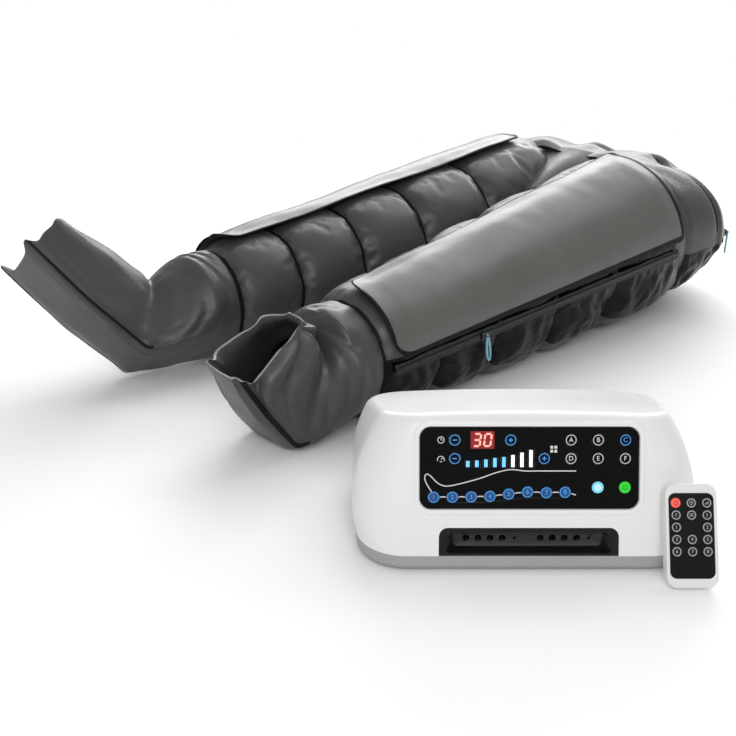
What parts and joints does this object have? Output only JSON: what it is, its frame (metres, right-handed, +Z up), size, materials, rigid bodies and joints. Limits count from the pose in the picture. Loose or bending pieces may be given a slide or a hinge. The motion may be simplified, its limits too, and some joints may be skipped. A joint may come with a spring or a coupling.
{
  "type": "air compression leg massager",
  "caption": "Inflatable air compression trousers with open-toed boots and zips, a console with a lit key panel and hose sockets, and a small remote that leans on it.",
  "frame": {"origin": "on the floor under the middle of the set's bounding box", "axes": "+Z up, the console's panel faces -Y, +X to the right of someone who faces the panel"},
  "size_m": [0.9849, 1.073, 0.2365],
  "materials": {
    "casing_white": "gloss",
    "tray_grey": "satin",
    "foot_rubber": "matte",
    "panel_black": "gloss",
    "display_light": "gloss",
    "circuit_board": "satin",
    "socket_black": "satin",
    "pump_metal": "satin",
    "valve_plastic": "satin",
    "key_blue": "gloss",
    "key_pale_blue": "gloss",
    "key_green": "gloss",
    "key_black": "gloss",
    "remote_key_red": "satin",
    "remote_key_grey": "satin",
    "cell_steel": "satin",
    "sleeve_fabric": "satin",
    "cover_fabric": "satin",
    "zip_tape": "matte",
    "zip_pull": "satin"
  },
  "bodies": {
    "set": {"air_pump": "pump_metal", "console_base_tray": "tray_grey", "console_upper_shell": "casing_white", "control_board": "circuit_board", "cover_panels": "cover_fabric", "display_module": "display_light", "hip_section": "sleeve_fabric", "hose_socket_block": "socket_black", "left_leg_sleeve": "sleeve_fabric", "mains_inlet": "socket_black", "panel_overlay": "panel_black", "power_supply": "circuit_board", "remote_board": "circuit_board", "remote_front_shell": "casing_white", "remote_overlay": "panel_black", "remote_rear_shell": "casing_white", "right_leg_sleeve": "sleeve_fabric", "rubber_feet": "foot_rubber", "valve_manifold": "valve_plastic", "zip_tapes": "zip_tape"},
    "key_chamber_1": {"key_chamber_1": "key_blue"},
    "key_chamber_2": {"key_chamber_2": "key_blue"},
    "key_chamber_3": {"key_chamber_3": "key_blue"},
    "key_chamber_4": {"key_chamber_4": "key_blue"},
    "key_chamber_5": {"key_chamber_5": "key_blue"},
    "key_chamber_6": {"key_chamber_6": "key_blue"},
    "key_chamber_7": {"key_chamber_7": "key_blue"},
    "key_chamber_8": {"key_chamber_8": "key_blue"},
    "key_mode_a": {"key_mode_a": "key_black"},
    "key_mode_b": {"key_mode_b": "key_black"},
    "key_mode_c": {"key_mode_c": "key_black"},
    "key_mode_d": {"key_mode_d": "key_black"},
    "key_mode_e": {"key_mode_e": "key_black"},
    "key_mode_f": {"key_mode_f": "key_black"},
    "key_power": {"key_power": "key_green"},
    "key_pressure_minus": {"key_pressure_minus": "key_black"},
    "key_pressure_plus": {"key_pressure_plus": "key_black"},
    "key_start_pause": {"key_start_pause": "key_pale_blue"},
    "key_time_minus": {"key_time_minus": "key_black"},
    "key_time_plus": {"key_time_plus": "key_black"},
    "left_leg_zip_slider": {"left_leg_zip_slider": "zip_pull"},
    "left_waist_slider": {"left_waist_slider": "zip_pull"},
    "battery_drawer": {"remote_battery_tray": "casing_white", "remote_coin_cell": "cell_steel"},
    "remote_key_1_1": {"remote_key_1_1": "remote_key_red"},
    "remote_key_1_2": {"remote_key_1_2": "remote_key_grey"},
    "remote_key_1_3": {"remote_key_1_3": "remote_key_grey"},
    "remote_key_2_1": {"remote_key_2_1": "remote_key_grey"},
    "remote_key_2_2": {"remote_key_2_2": "remote_key_grey"},
    "remote_key_2_3": {"remote_key_2_3": "remote_key_grey"},
    "remote_key_3_1": {"remote_key_3_1": "remote_key_grey"},
    "remote_key_3_3": {"remote_key_3_3": "remote_key_grey"},
    "remote_key_4_1": {"remote_key_4_1": "remote_key_grey"},
    "remote_key_4_2": {"remote_key_4_2": "remote_key_grey"},
    "remote_key_4_3": {"remote_key_4_3": "remote_key_grey"},
    "remote_key_5_1": {"remote_key_5_1": "remote_key_grey"},
    "remote_key_5_2": {"remote_key_5_2": "remote_key_grey"},
    "remote_key_5_3": {"remote_key_5_3": "remote_key_grey"},
    "right_leg_zip_slider": {"right_leg_zip_slider": "zip_pull"},
    "right_waist_slider": {"right_waist_slider": "zip_pull"}
  },
  "joints": [
    {"name": "key_chamber_1_slide", "type": "slide", "parent": "set", "child": "key_chamber_1", "axis": [0, 0.9397, -0.342], "range_m": [0, 0.0006], "stiffness_N_per_m": 2000},
    {"name": "key_chamber_2_slide", "type": "slide", "parent": "set", "child": "key_chamber_2", "axis": [0, 0.9397, -0.342], "range_m": [0, 0.0006], "stiffness_N_per_m": 2000},
    {"name": "key_chamber_3_slide", "type": "slide", "parent": "set", "child": "key_chamber_3", "axis": [0, 0.9397, -0.342], "range_m": [0, 0.0006], "stiffness_N_per_m": 2000},
    {"name": "key_chamber_4_slide", "type": "slide", "parent": "set", "child": "key_chamber_4", "axis": [0, 0.9397, -0.342], "range_m": [0, 0.0006], "stiffness_N_per_m": 2000},
    {"name": "key_chamber_5_slide", "type": "slide", "parent": "set", "child": "key_chamber_5", "axis": [0, 0.9397, -0.342], "range_m": [0, 0.0006], "stiffness_N_per_m": 2000},
    {"name": "key_chamber_6_slide", "type": "slide", "parent": "set", "child": "key_chamber_6", "axis": [0, 0.9397, -0.342], "range_m": [0, 0.0006], "stiffness_N_per_m": 2000},
    {"name": "key_chamber_7_slide", "type": "slide", "parent": "set", "child": "key_chamber_7", "axis": [0, 0.9397, -0.342], "range_m": [0, 0.0006], "stiffness_N_per_m": 2000},
    {"name": "key_chamber_8_slide", "type": "slide", "parent": "set", "child": "key_chamber_8", "axis": [0, 0.9397, -0.342], "range_m": [0, 0.0006], "stiffness_N_per_m": 2000},
    {"name": "key_mode_a_slide", "type": "slide", "parent": "set", "child": "key_mode_a", "axis": [0, 0.9397, -0.342], "range_m": [0, 0.0006], "stiffness_N_per_m": 2000},
    {"name": "key_mode_b_slide", "type": "slide", "parent": "set", "child": "key_mode_b", "axis": [0, 0.9397, -0.342], "range_m": [0, 0.0006], "stiffness_N_per_m": 2000},
    {"name": "key_mode_c_slide", "type": "slide", "parent": "set", "child": "key_mode_c", "axis": [0, 0.9397, -0.342], "range_m": [0, 0.0006], "stiffness_N_per_m": 2000},
    {"name": "key_mode_d_slide", "type": "slide", "parent": "set", "child": "key_mode_d", "axis": [0, 0.9397, -0.342], "range_m": [0, 0.0006], "stiffness_N_per_m": 2000},
    {"name": "key_mode_e_slide", "type": "slide", "parent": "set", "child": "key_mode_e", "axis": [0, 0.9397, -0.342], "range_m": [0, 0.0006], "stiffness_N_per_m": 2000},
    {"name": "key_mode_f_slide", "type": "slide", "parent": "set", "child": "key_mode_f", "axis": [0, 0.9397, -0.342], "range_m": [0, 0.0006], "stiffness_N_per_m": 2000},
    {"name": "key_power_slide", "type": "slide", "parent": "set", "child": "key_power", "axis": [0, 0.9397, -0.342], "range_m": [0, 0.0006], "stiffness_N_per_m": 2000},
    {"name": "key_pressure_minus_slide", "type": "slide", "parent": "set", "child": "key_pressure_minus", "axis": [0, 0.9397, -0.342], "range_m": [0, 0.0006], "stiffness_N_per_m": 2000},
    {"name": "key_pressure_plus_slide", "type": "slide", "parent": "set", "child": "key_pressure_plus", "axis": [0, 0.9397, -0.342], "range_m": [0, 0.0006], "stiffness_N_per_m": 2000},
    {"name": "key_start_pause_slide", "type": "slide", "parent": "set", "child": "key_start_pause", "axis": [0, 0.9397, -0.342], "range_m": [0, 0.0006], "stiffness_N_per_m": 2000},
    {"name": "key_time_minus_slide", "type": "slide", "parent": "set", "child": "key_time_minus", "axis": [0, 0.9397, -0.342], "range_m": [0, 0.0006], "stiffness_N_per_m": 2000},
    {"name": "key_time_plus_slide", "type": "slide", "parent": "set", "child": "key_time_plus", "axis": [0, 0.9397, -0.342], "range_m": [0, 0.0006], "stiffness_N_per_m": 2000},
    {"name": "left_leg_zip_slider_slide", "type": "slide", "parent": "set", "child": "left_leg_zip_slider", "axis": [-0.7574, -0.6501, -0.06], "range_m": [-0.37, 0.128]},
    {"name": "left_waist_slider_slide", "type": "slide", "parent": "set", "child": "left_waist_slider", "axis": [-0.3228, -0.9433, 0.0774], "range_m": [-0.004, 0.062]},
    {"name": "battery_drawer_slide", "type": "slide", "parent": "set", "child": "battery_drawer", "axis": [1, 0, 0], "range_m": [0, 0.022]},
    {"name": "remote_key_1_1_slide", "type": "slide", "parent": "set", "child": "remote_key_1_1", "axis": [0, 0.8788, -0.4772], "range_m": [0, 0.0004], "stiffness_N_per_m": 1500},
    {"name": "remote_key_1_2_slide", "type": "slide", "parent": "set", "child": "remote_key_1_2", "axis": [0, 0.8788, -0.4772], "range_m": [0, 0.0004], "stiffness_N_per_m": 1500},
    {"name": "remote_key_1_3_slide", "type": "slide", "parent": "set", "child": "remote_key_1_3", "axis": [0, 0.8788, -0.4772], "range_m": [0, 0.0004], "stiffness_N_per_m": 1500},
    {"name": "remote_key_2_1_slide", "type": "slide", "parent": "set", "child": "remote_key_2_1", "axis": [0, 0.8788, -0.4772], "range_m": [0, 0.0004], "stiffness_N_per_m": 1500},
    {"name": "remote_key_2_2_slide", "type": "slide", "parent": "set", "child": "remote_key_2_2", "axis": [0, 0.8788, -0.4772], "range_m": [0, 0.0004], "stiffness_N_per_m": 1500},
    {"name": "remote_key_2_3_slide", "type": "slide", "parent": "set", "child": "remote_key_2_3", "axis": [0, 0.8788, -0.4772], "range_m": [0, 0.0004], "stiffness_N_per_m": 1500},
    {"name": "remote_key_3_1_slide", "type": "slide", "parent": "set", "child": "remote_key_3_1", "axis": [0, 0.8788, -0.4772], "range_m": [0, 0.0004], "stiffness_N_per_m": 1500},
    {"name": "remote_key_3_3_slide", "type": "slide", "parent": "set", "child": "remote_key_3_3", "axis": [0, 0.8788, -0.4772], "range_m": [0, 0.0004], "stiffness_N_per_m": 1500},
    {"name": "remote_key_4_1_slide", "type": "slide", "parent": "set", "child": "remote_key_4_1", "axis": [0, 0.8788, -0.4772], "range_m": [0, 0.0004], "stiffness_N_per_m": 1500},
    {"name": "remote_key_4_2_slide", "type": "slide", "parent": "set", "child": "remote_key_4_2", "axis": [0, 0.8788, -0.4772], "range_m": [0, 0.0004], "stiffness_N_per_m": 1500},
    {"name": "remote_key_4_3_slide", "type": "slide", "parent": "set", "child": "remote_key_4_3", "axis": [0, 0.8788, -0.4772], "range_m": [0, 0.0004], "stiffness_N_per_m": 1500},
    {"name": "remote_key_5_1_slide", "type": "slide", "parent": "set", "child": "remote_key_5_1", "axis": [0, 0.8788, -0.4772], "range_m": [0, 0.0004], "stiffness_N_per_m": 1500},
    {"name": "remote_key_5_2_slide", "type": "slide", "parent": "set", "child": "remote_key_5_2", "axis": [0, 0.8788, -0.4772], "range_m": [0, 0.0004], "stiffness_N_per_m": 1500},
    {"name": "remote_key_5_3_slide", "type": "slide", "parent": "set", "child": "remote_key_5_3", "axis": [0, 0.8788, -0.4772], "range_m": [0, 0.0004], "stiffness_N_per_m": 1500},
    {"name": "right_leg_zip_slider_slide", "type": "slide", "parent": "set", "child": "right_leg_zip_slider", "axis": [-0.727, -0.6841, -0.06], "range_m": [-0.37, 0.128]},
    {"name": "right_waist_slider_slide", "type": "slide", "parent": "set", "child": "right_waist_slider", "axis": [-0.9722, -0.2208, 0.0774], "range_m": [-0.004, 0.062]}
  ]
}
